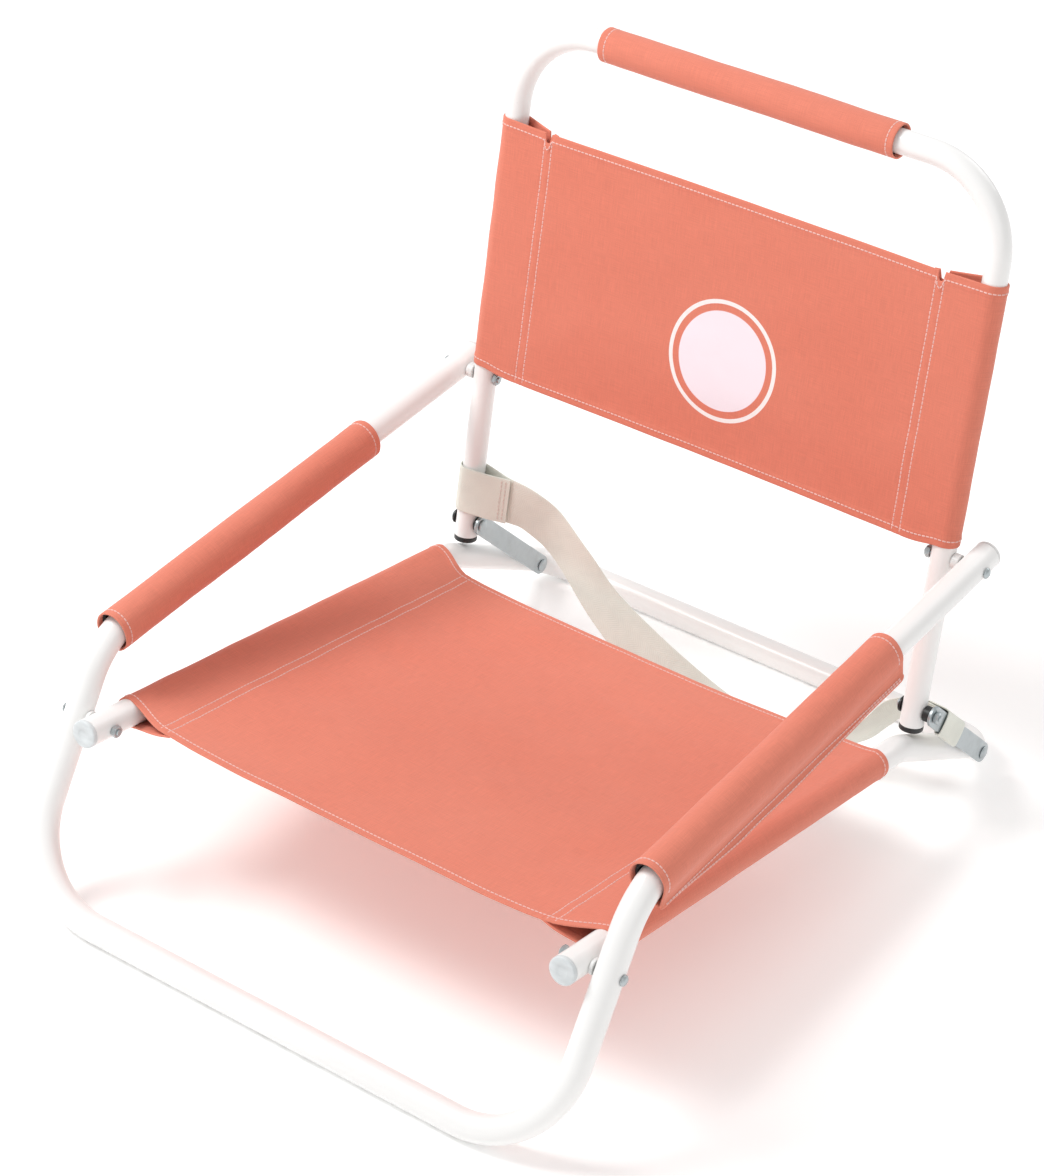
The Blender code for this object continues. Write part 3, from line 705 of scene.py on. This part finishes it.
def add_links():
    """The flat bars, the rivet in each one's open end and the stud in each tail."""
    for tag, sign in (("left", -1), ("right", 1)):
        body = f"link_{tag}"
        face = sign * SEAT_HALF + TUBE_R + LINK_OFFSET
        finish_piece(f"{body}_plate", bar(face), body, "zinc", replaced=[f"{body}_bar"], sharp=30)
        open_end = LINK_PIVOT if tag == "left" else STUD
        rivet = low_head(1) + [(BOLT_R, 0), (BOLT_R, 0.2 - LINK_T), (BOLT_R - 0.2, -LINK_T),
                               (0, -LINK_T)]
        finish_piece(f"{body}_rivet_turned", lathe(rivet, side(face + LINK_T + GAP, open_end), X),
                     body, "zinc", replaced=[f"{body}_rivet"], sharp=28)
        stem = 2 * TUBE_R + 4 * GAP + NUT_H + SHANK_PAST_NUT
        if tag == "left":
            foot = side(face + LINK_T + GAP, STUD)
            reach = LINK_T + GAP + LINK_OFFSET + stem
            pin = low_head(-1) + [(BOLT_R, 0)]
            ring = washer(HOLE_R, HEAD_R, LINK_OFFSET - 2 * GAP, side(face - GAP, STUD), -X)
            finish_piece("tail_spacer_left_turned", ring, "seat", "black_plastic",
                         replaced=["tail_spacer_left"], sharp=28)
        else:
            foot = side(face - LINK_OFFSET, STUD)
            reach = stem
            pin = [(0, -COLLAR_H), (HEAD_R - 0.5, -COLLAR_H), (HEAD_R, 0.5 - COLLAR_H),
                   (HEAD_R, -GAP), (BOLT_R, -GAP)]
        pin += [(BOLT_R, reach - 0.6), (BOLT_R - 0.6, reach), (0, reach)]
        finish_piece(f"tail_stud_{tag}_turned", lathe(pin, foot, -X), "seat", "zinc",
                     replaced=[f"tail_stud_{tag}"], sharp=28)
        nut = side(face - LINK_OFFSET - 2 * TUBE_R - 4 * GAP, STUD)
        finish_piece(f"tail_nut_{tag}_turned",
                     washer(HOLE_R - 0.3, NUT_R, NUT_H, nut, -X, hexagon=True, edge=0.7), "seat", "zinc",
                     replaced=[f"tail_nut_{tag}"], sharp=28)


# ---- canvas panels
class Panel:
    """Canvas round two tubes: a section of (x, n) points swept along their direction.

    u is the distance along the section from its middle, so |u| is about |x| on the open sheet,
    and v is the distance along the tubes.
    """

    def __init__(self, origin, along, half, tube_r, start, end, sag, power, seed):
        self.origin, self.along, self.face = origin, along, X.cross(along)
        self.half, self.sag, self.power, self.seed = half, sag, power, seed
        self.start, self.end = start, end
        self.reach = tube_r + CANVAS_GAP + CANVAS_T / 2
        points = [Vector((x, self.crown(x))) for x in self.sheet_steps()]
        under = self.crown(SEAM) - 2 * CANVAS_T - 0.2
        to_seam = Vector((SEAM - half, under))
        # the sleeve goes round the tube and leaves it on a tangent that ends at the seam
        leave = atan2(to_seam.y, to_seam.x) % (2 * pi) + acos(self.reach / to_seam.length)
        leave -= 2 * pi
        count = 34
        for k in range(1, count + 1):
            a = pi / 2 + (leave - pi / 2) * k / count
            points.append(Vector((half + self.reach * cos(a), self.reach * sin(a))))
        last = points[-1]
        flap = Vector((SEAM - 2 * SEAM_ROWS, under + 0.2)) - last
        flap_steps = [2.0 * k for k in range(1, int(flap.length / 2))] + [flap.length]
        points += [last + flap.normalized() * d for d in flap_steps]
        self.right, self.lengths = points, [0.0]
        for a, b in zip(points, points[1:]):
            self.lengths.append(self.lengths[-1] + (b - a).length)
        self.half_width = self.lengths[-1]

    def sheet_steps(self):
        """x from 0 to the tube, close together round the seam."""
        xs = [3.9 * k for k in range(int((SEAM - 9) / 3.9) + 1)]
        xs += [SEAM - 8 + k for k in range(17)]
        left = self.half - SEAM - 9
        return xs + [SEAM + 9 + left * k / 10 for k in range(11)]

    def crown(self, x):
        return self.reach - self.sag * (1 - (x / self.half) ** self.power)

    def section(self, u):
        """The section's (x, n) at u and its outward normal."""
        distance, mirror = abs(u), (1 if u >= 0 else -1)
        low = min(bisect_right(self.lengths, distance), len(self.lengths) - 1) - 1
        high = low + 1
        share = (distance - self.lengths[low]) / (self.lengths[high] - self.lengths[low])
        a, b = self.right[low], self.right[high]
        before = self.right[max(low - 1, 0)] if low else Vector((-b.x, b.y))
        after = self.right[min(high + 1, len(self.right) - 1)]
        slope = (b - before).normalized().lerp((after - a).normalized(), share).normalized()
        place = a.lerp(b, min(share, 1.0))
        normal = Vector((-slope.y, slope.x))
        return Vector((place.x * mirror, place.y)), Vector((normal.x * mirror, normal.y))

    def edges(self, x):
        """Where the panel starts and ends along the tubes, at lateral x."""
        share = smooth_step((abs(x) - SEAM) / (self.half - SEAM))
        return self.start + SLEEVE_STARTS * share, self.end + SLEEVE_ENDS[x >= 0] * share

    def lift(self, u, v):
        """How far the surface stands from its smooth section: wrinkles, puckers and stitch lines."""
        x = min(abs(u), self.half)
        open_sheet = 1 - smooth_step((x - SEAM + 30) / 50)
        broad = (2.2 * wave(u * 0.0035, v * 0.013, self.seed)
                 + 1.1 * wave(u * 0.010, v * 0.026, self.seed + 5)
                 + 0.35 * wave(u * 0.03 + v * 0.02, v * 0.05, self.seed + 7))
        near_seam = abs(abs(u) - SEAM)
        drape = 0.55 * wave(u * 0.03, v * 0.028, self.seed + 13) * (1 - open_sheet)
        pucker = 0.75 * wave(v * 0.065, self.seed + 9, 0) * exp(-near_seam / 18)
        pucker += 0.32 * wave(v * 0.20, self.seed + 3, 0) * exp(-near_seam / 7)
        pressed = sum(exp(-((abs(u) - SEAM - offset) / 1.2) ** 2)
                      for offset in (-SEAM_ROWS, SEAM_ROWS))
        return broad * open_sheet + drape + pucker - 0.34 * pressed

    def point(self, u, v, out=0.0):
        place, normal = self.section(u)
        raised = self.lift(u, v) + out
        x = place.x + normal.x * raised
        n = place.y + normal.y * raised
        position = self.origin + self.along * v + X * x + self.face * n
        return position, (X * normal.x + self.face * normal.y)

    def spans(self, u):
        """The places along the tubes at u, close together at the hems."""
        reach = HEM_STEPS[-1]
        steps = int((self.end - self.start - 2 * reach) / 4.0)
        low, high = self.edges(self.section(u)[0].x)
        inner = high - low - 2 * reach
        return ([low + d for d in HEM_STEPS]
                + [low + reach + inner * k / steps for k in range(1, steps)]
                + [high - d for d in reversed(HEM_STEPS)])

    def layer(self, grid, sign):
        """The outer (1) or inner (-1) face's points, thicker at the hems and rounded at the edges."""
        rows = []
        for places in grid:
            row = []
            for u, v in places:
                from_edge = min(v - places[0][1], places[-1][1] - v)
                hem = 1.0 - smooth_step((from_edge - HEM) / 1.2)
                thick = CANVAS_T / 2 + (0.35 * hem if sign > 0 else 0.8 * hem)
                roll = min(from_edge / 1.1, 1.0)
                round_off = sqrt(max(1 - (1 - roll) ** 2, 0.0))
                row.append(self.point(u, v, sign * thick * max(round_off, 0.12))[0])
            rows.append(row)
        return rows

    def build(self, front_material, name, body, slot, replaced):
        """The closed mesh: an outer and an inner face that meet at rounded hems."""
        us = [-length for length in reversed(self.lengths[1:])] + self.lengths
        grid = [[(u, v) for v in self.spans(u)] for u in us]

        def uv(a, b):
            return grid[a][b][0] * MM, grid[a][b][1] * MM

        outer, inner = self.layer(grid, 1), self.layer(grid, -1)
        bm = bmesh.new()
        top = skin(bm, outer, False, False, uv, 0)
        low = skin(bm, inner, False, False, uv, 1)
        layer = bm.loops.layers.uv.verify()
        count, rows = len(outer[0]), len(outer)
        rim = [(i, 0) for i in range(rows)] + [(rows - 1, k) for k in range(1, count)]
        rim += [(i, count - 1) for i in range(rows - 2, -1, -1)]
        rim += [(0, k) for k in range(count - 2, 0, -1)]
        for (a, b), (c, d) in zip(rim, rim[1:] + rim[:1]):
            face = bm.faces.new((top[a][b], top[c][d], low[c][d], low[a][b]))
            face.material_index = 1
            for loop, (i, k) in zip(face.loops, ((a, b), (c, d), (c, d), (a, b))):
                loop[layer].uv = uv(i, k)
        return finish_piece(name, bm, body, slot, (front_material, LOOKS[slot]), replaced, 60)

    def stitch_lines(self):
        """Rows of stitches: two along each seam on both of its layers, and one along each hem."""
        us = [sign * (middle + offset) for sign in (-1, 1) for offset in (-SEAM_ROWS, SEAM_ROWS)
              for middle in (SEAM, self.half_width - 2 * SEAM_ROWS)]
        return [self.seam_line(u) for u in us] + [self.hem_line(end) for end in (False, True)]

    def seam_line(self, u):
        low, high = self.edges(self.section(u)[0].x)
        low, high = low + 2.0, high - 2.0
        count = int((high - low) / 1.5)
        return [self.point(u, low + (high - low) * k / count, CANVAS_T / 2)
                for k in range(count + 1)]

    def hem_line(self, at_end):
        line = []
        reach = self.half_width - 8.0
        count = int(2 * reach / 1.5)
        for k in range(count + 1):
            u = -reach + 2 * reach * k / count
            low, high = self.edges(self.section(u)[0].x)
            v = high - HEM_STITCH if at_end else low + HEM_STITCH
            line.append(self.point(u, v, CANVAS_T / 2 + 0.35))
        return line


class BackPanel(Panel):
    def edges(self, x):
        share = smooth_step((abs(x) - SEAM) / (self.half - SEAM))
        gap = (abs(x) - SEAM - 0.5) / 3.4
        notch = NOTCH * max(0.0, 1 - gap ** 4) if abs(gap) < 1 else 0.0
        return self.start + 4.0 * share * share, self.end - notch + 1.5 * share


def add_panels():
    seat = Panel(side(0, RAIL_FRONT), RAIL, SEAT_HALF, TUBE_R, SEAT_FROM, SEAT_TO,
                 SEAT_SAG, 5, 11.3)
    back = BackPanel(side(0, LINK_PIVOT), BACK, BACK_HALF, BACK_TUBE_R, BACK_FROM, BACK_TO,
                     BACK_SAG, 2, 31.7)
    for panel, name, body, material in ((seat, "seat", "seat", LOOKS["coral_canvas"]),
                                        (back, "back", "back", PRINTED)):
        cloth = panel.build(material, f"{name}_canvas", body, "coral_canvas", [f"{name}_panel"])
        threads = sew(f"{name}_stitches", panel.stitch_lines(), body, "coral_canvas", PALE_THREAD)


# ---- padded sleeves
class Sleeve:
    """A padded canvas sleeve on a straight tube, its cloth sewn together along a flange.

    t runs along the sleeve in millimetres, and the section is a teardrop whose point faces
    the flange's direction.
    """

    def __init__(self, origin, along, length, size, out, twist, foot, flange, seed, drop=0.0):
        self.origin, self.along, self.length = origin, along, length
        self.flat = X if abs(along.dot(X)) < 0.5 else Y
        self.up = self.flat.cross(along)
        if self.up.z < 0:
            self.up = -self.up
        self.wide, self.tall = size
        self.out, self.twist, self.foot, self.flange, self.seed = out, twist, foot, flange, seed
        self.drop = drop

    def facing(self, t):
        """The flange's direction at t: it turns up a little towards the rear mouth."""
        level = self.twist * smooth_step((t / self.length - 0.6) / 0.4)
        return self.out + level

    def flange_at(self, t):
        """The flange's width at t: narrow at the front, widest at the middle, rounded at the ends."""
        share = t / self.length
        widest, narrow = self.flange
        curve = smooth_step((share - 0.02) / 0.3) * (1 - 0.8 * smooth_step((share - 0.55) / 0.4))
        width = narrow + (widest - narrow) * curve + 0.5 * wave(share * 9, self.seed, 0)
        edge = min(t, self.length - t, 7.0) / 7.0
        return 0.5 + (width - 0.5) * sqrt(1 - (1 - edge) ** 2)

    def outline(self, t, inset=0.0, keep_flange=True):
        """The section's points at t: round the pad, then out along the flange and back."""
        half_thick = FLANGE_T / 2 - inset * 0.6
        leave = acos(1 / self.foot) * 0.97
        facing = self.facing(t)
        wide, tall = self.wide - inset, self.tall - inset
        ahead, aside = cos(facing), sin(facing)
        points = []
        for k in range(PAD_STEPS + 1):
            a = facing + leave + (2 * pi - 2 * leave) * k / PAD_STEPS
            ripple = self.ripple(a, t)
            points.append(((wide + ripple) * cos(a), (tall + ripple) * sin(a)))
        base = hypot(self.wide * ahead, self.tall * aside) * self.foot - inset
        tab = self.flange_at(t) if keep_flange else 0.6
        for distance, half in ((base, -half_thick), (base + tab * 0.5, -half_thick),
                               (base + tab, -half_thick * 0.9),
                               (base + tab + half_thick * 0.8, 0),
                               (base + tab, half_thick * 0.9), (base + tab * 0.5, half_thick),
                               (base, half_thick)):
            points.append((distance * ahead - half * aside, distance * aside + half * ahead))
        return points

    def ripple(self, a, t):
        edge = min(t, self.length - t)
        turned = (a - self.facing(t)) % (2 * pi)
        seam = min(turned, 2 * pi - turned)
        soft = 0.55 * wave(t * 0.012, cos(a) * 0.9, self.seed + sin(a) * 0.9)
        soft += 0.22 * wave(t * 0.04, cos(a) * 1.6, self.seed + 2 + sin(a) * 1.6)
        pucker = 0.7 * wave(t * 0.075, self.seed + 4, cos(a)) * exp(-seam / 0.6)
        mouth = 0.35 * wave(a * 1.6, self.seed + 8, 0) * exp(-edge / 9)
        pressed = -0.4 * exp(-((edge - HEM_STITCH) / 1.3) ** 2)
        return soft + pucker + mouth + pressed

    def place(self, t, point):
        a, b = point
        return self.origin + self.along * t + self.flat * a + self.up * (b - self.drop)

    def stations(self):
        reach = SLEEVE_STEPS[-1]
        inner = self.length - 2 * reach
        steps = int(inner / 5.0)
        return ([*SLEEVE_STEPS] + [reach + inner * k / steps for k in range(1, steps)]
                + [self.length - d for d in reversed(SLEEVE_STEPS)])

    def build(self, name, body, replaced):
        stations = self.stations()
        outer, inner = [], []
        for t in stations:
            edge = min(t, self.length - t)
            roll = sqrt(max(1 - (1 - min(edge / 0.8, 1.0)) ** 2, 0.0))
            lip = 0.45 * (1 - roll)
            thick = CANVAS_T * (1.9 if edge < HEM else 1.1)
            outer.append([self.place(t, p) for p in self.outline(t, lip)])
            inner.append([self.place(t, p) for p in self.outline(t, thick - lip * 0.9, False)])
        bm = bmesh.new()
        rows = outer + inner[::-1]
        girth = sum((b - a).length for a, b in zip(outer[0], outer[0][1:]))
        along_at = stations + stations[::-1]
        count = len(outer[0])
        skin(bm, rows, uvs=lambda a, b: (girth * b / count * MM, along_at[a % len(rows)] * MM))
        return finish_piece(name, bm, body, "coral_canvas", replaced=replaced, sharp=60)

    def lines(self):
        """Stitches round both mouths, along the seam's foot and near the flange's edge."""
        rows = ((0.0, 0.9), (1.0, -1.0)) if self.flange[0] > 3.0 else ((0.0, 0.9),)
        return ([self.mouth_line(t) for t in (HEM_STITCH, self.length - HEM_STITCH)]
                + [self.flange_line(face, *row) for face in (-1, 1) for row in rows])

    def mouth_line(self, t):
        section = [Vector(p) for p in self.outline(t)[:PAD_STEPS + 2]]
        line = []
        for a, b in zip(section, section[1:]):
            along = (b - a).normalized()
            out = self.flat * along.y - self.up * along.x
            line += [(self.place(t, a.lerp(b, k / 3)) + out * 0.1, out) for k in range(3)]
        return line

    def flange_line(self, face, share, inset):
        """A row on one face of the flange, at a share of its width plus an inset."""
        line = []
        count = int(self.length / 2)
        for k in range(3, count - 2):
            t = self.length * k / count
            ahead, aside = cos(self.facing(t)), sin(self.facing(t))
            normal = Vector((-aside, ahead)) * face
            distance = hypot(*self.outline(t)[-1]) + share * self.flange_at(t) + inset
            p = Vector((ahead, aside)) * distance + normal * FLANGE_T / 2
            line.append((self.place(t, p), self.flat * normal.x + self.up * normal.y))
        return line


def add_sleeve(sleeve, name, body, cover, foam, tube_r):
    piece = sleeve.build(f"{name}_cover", body, [cover])
    sew(f"{name}_stitches", sleeve.lines(), body, "coral_canvas", PALE_THREAD)
    recess = 5.0
    ends = [sleeve.origin + sleeve.along * t for t in (recess, sleeve.length - recess)]
    bm = tube(ends, min(sleeve.wide, sleeve.tall) - 2.4, tube_r + 0.3)
    finish_piece(f"{name}_padding", bm, body, "foam", replaced=[foam])


def add_sleeves():
    length = ARM_SLEEVE_FROM - ARM_SLEEVE_TO
    for tag, sign, seed in (("left", -1, 3.1), ("right", 1, 7.9)):
        origin = side(sign * FRONT_HALF, BACK_PIVOT) - ARM * ARM_SLEEVE_FROM
        out, twist = (radians(-60), radians(16)) if sign > 0 else (radians(240), radians(-16))
        sleeve = Sleeve(origin, ARM, length, ARM_PAD, out, twist, foot=1.26, flange=(7.5, 2.2),
                        seed=seed, drop=ARM_DROP if sign < 0 else 0.0)
        add_sleeve(sleeve, f"arm_{tag}", "front", f"arm_sleeve_{tag}", f"arm_foam_{tag}", TUBE_R)
    grip = Sleeve(side(GRIP_FROM, BACK_TOP), X, GRIP_TO - GRIP_FROM, GRIP_PAD, radians(-55),
                  twist=0.0, foot=1.16, flange=(2.4, 2.0), seed=5.5)
    add_sleeve(grip, "grip", "back", "grip_sleeve", "grip_foam", BACK_TUBE_R)


# ---- carrying strap
def smooth_curve(points, steps):
    """A Catmull-Rom curve through the points."""
    padded = [2 * points[0] - points[1]] + points + [2 * points[-1] - points[-2]]
    curve = []
    for a, b, c, d in zip(padded, padded[1:], padded[2:], padded[3:]):
        for step in range(steps):
            t = step / steps
            curve.append(0.5 * (2 * b + (c - a) * t + (2 * a - 5 * b + 4 * c - d) * t * t
                                + (3 * b - a - 3 * c + d) * t ** 3))
    return curve + [points[-1]]


def strap_route():
    """Centreline and width direction of the strap: round the left upright, low behind the seat
    and round the right link."""
    front = X.cross(BACK)
    upright = side(-BACK_HALF, LINK_PIVOT) + BACK * LEFT_LOOP
    wrap = BACK_TUBE_R + 1.6
    points = [upright + X * 44 + front * 1.6, upright + X * 24 + front * 8.0]
    for k in range(7):
        a = pi * k / 6
        points.append(upright - X * wrap * sin(a) + front * wrap * cos(a))
    points.append(upright + X * 24 - front * 6.0)
    points.append(upright + X * 40 - front * 1.2)
    wide = [BACK] * len(points)
    # (x, y, z, lean): lean is the width's tilt from upright towards the back, in degrees
    span = ((-185, 232, 154, 0), (-160, 237, 139, 0), (-130, 236, 115, 1), (-100, 235, 86, 5),
            (-65, 235, 61, 16), (-25, 236, 38, 37), (20, 239, 20, 64), (65, 246, 9.5, 87),
            (110, 255, 8, 96), (145, 260, 15, 107), (170, 261, 34, 119), (190, 261, 61, 128),
            (213, 262, 90, 132))
    points += [side(x, (y, z)) for x, y, z, _ in span]
    wide += [Vector((0, sin(radians(lean)), cos(radians(lean)))) for *_, lean in span]
    square = X.cross(LINK)
    face = SEAT_HALF + TUBE_R + LINK_OFFSET
    middle = side(face + LINK_T / 2, LINK_PIVOT) + LINK * RIGHT_LOOP
    half = LINK_WIDTH / 2
    loop = ((-26, half + 1.6), (-7, half + 0.8), (-3.6, half - 1.0), (-3.4, 0),
            (-2.4, -half - 0.2), (0, -half - 1.6), (2.4, -half - 0.4), (3.0, 0),
            (2.4, half + 0.4), (0, half + 2.6), (-6, half + 3.4), (-24, half + 4.2))
    for x, n in loop:
        points.append(middle + X * x + square * n)
        wide.append(LINK)
    return points, wide


def add_strap():
    points, wide = strap_route()
    steps = 5
    curve, across = smooth_curve(points, steps), smooth_curve(wide, steps)
    # thickness profile across the width: thin rounded selvedges
    shares = (-1.0, -0.985, -0.95, -0.8, -0.5, 0.0, 0.5, 0.8, 0.95, 0.985, 1.0)
    swell = (0.25, 0.75, 0.95, 1.0, 1.0, 1.0, 1.0, 1.0, 0.95, 0.75, 0.25)
    rows, run = [], [0.0]
    for i, point in enumerate(curve):
        ahead = (curve[min(i + 1, len(curve) - 1)] - curve[max(i - 1, 0)]).normalized()
        w = (across[i] - ahead * across[i].dot(ahead)).normalized()
        n = ahead.cross(w).normalized()
        if i:
            run.append(run[-1] + (point - curve[i - 1]).length)
        upper, lower = ([point + w * STRAP_WIDTH / 2 * s + n * face * STRAP_T / 2 * t
                         for s, t in zip(shares, swell)] for face in (1, -1))
        rows.append(upper + lower[::-1])
    bm = bmesh.new()
    count = len(shares)

    def uvs(a, b):
        k = b % (2 * count)
        share = shares[k] if k < count else shares[2 * count - 1 - k]
        return (share * STRAP_WIDTH / 2 * MM, run[a] * MM)

    verts = skin(bm, rows, closed_rows=False, uvs=uvs)
    bm.faces.new(verts[0])
    bm.faces.new(verts[-1])
    ends = []
    for reach in (2.8, 7.0):
        i = next(k for k, distance in enumerate(run) if distance >= reach)
        ahead = (curve[i + 1] - curve[i - 1]).normalized()
        w = (across[i] - ahead * across[i].dot(ahead)).normalized()
        for n in (ahead.cross(w), w.cross(ahead)):
            start = curve[i] + n * STRAP_T / 2
            ends.append([(start + w * (k - 20), n) for k in range(41)])
    sew("strap_stitches", ends, "back", "ivory_webbing", IVORY_THREAD)
    strap = finish_piece("strap_webbing", bm, None, "ivory_webbing", replaced=["carry_strap"], sharp=70)
    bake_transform(strap)


# ---- stage, camera and light
def add_stage():
    bm = bmesh.new()
    bmesh.ops.create_grid(bm, x_segments=1, y_segments=1, size=14.0)
    mesh = bpy.data.meshes.new("floor")
    bm.to_mesh(mesh)
    bm.free()
    look = Look("floor_paper", (0.92, 0.92, 0.915), 0.9, specular=0.1)
    look.shader.inputs["Emission Color"].default_value = (1, 1, 1, 1)
    look.shader.inputs["Emission Strength"].default_value = 0.20
    mesh.materials.append(look.material)
    add_object("floor", mesh)


def add_camera():
    """The photograph's viewpoint: 3.0 m away, from the front, the sitter's left and above."""
    yaw, pitch, roll = -0.6248, -0.5643, 0.0386
    forward = Vector((sin(yaw) * cos(pitch), cos(yaw) * cos(pitch), sin(pitch)))
    level = Vector((cos(yaw), -sin(yaw), 0))
    upward = level.cross(forward)
    right = cos(roll) * level + sin(roll) * upward
    top = cos(roll) * upward - sin(roll) * level
    camera = bpy.data.cameras.new("camera")
    camera.sensor_fit = "AUTO"
    camera.sensor_width = 36.0
    camera.lens = 107.7
    camera.clip_end = 100.0
    holder = add_object("camera", camera)
    turn = Matrix((right, top, -forward)).transposed().to_4x4()
    holder.matrix_world = Matrix.Translation((1.4664, -2.0644, 1.8580)) @ turn
    bpy.context.scene.camera = holder


def add_light(name, place, aim, size, power, colour=(1, 1, 1)):
    lamp = bpy.data.lights.new(name, "AREA")
    lamp.shape = "SQUARE"
    lamp.size = size
    lamp.energy = power
    lamp.color = colour
    holder = add_object(name, lamp)
    holder.location = place
    holder.rotation_euler = (Vector(aim) - Vector(place)).to_track_quat("-Z", "Y").to_euler()


def add_studio():
    world = bpy.data.worlds.new("studio")
    world.use_nodes = True
    world.node_tree.nodes["Background"].inputs["Color"].default_value = (1, 1, 1, 1)
    world.node_tree.nodes["Background"].inputs["Strength"].default_value = 0.60
    bpy.context.scene.world = world
    bpy.context.scene.view_settings.view_transform = "Standard"
    add_light("key", (-1.6, -0.9, 2.6), (0, 0, 0.25), 1.2, 62)
    add_light("fill", (2.4, -1.6, 1.6), (0, 0, 0.25), 2.2, 10)
    add_light("rim", (0.6, 2.4, 1.9), (0, 0, 0.3), 1.4, 14)


add_frames()
add_plugs()
add_pivots()
add_links()
add_panels()
add_sleeves()
add_strap()
add_stage()
add_camera()
add_studio()
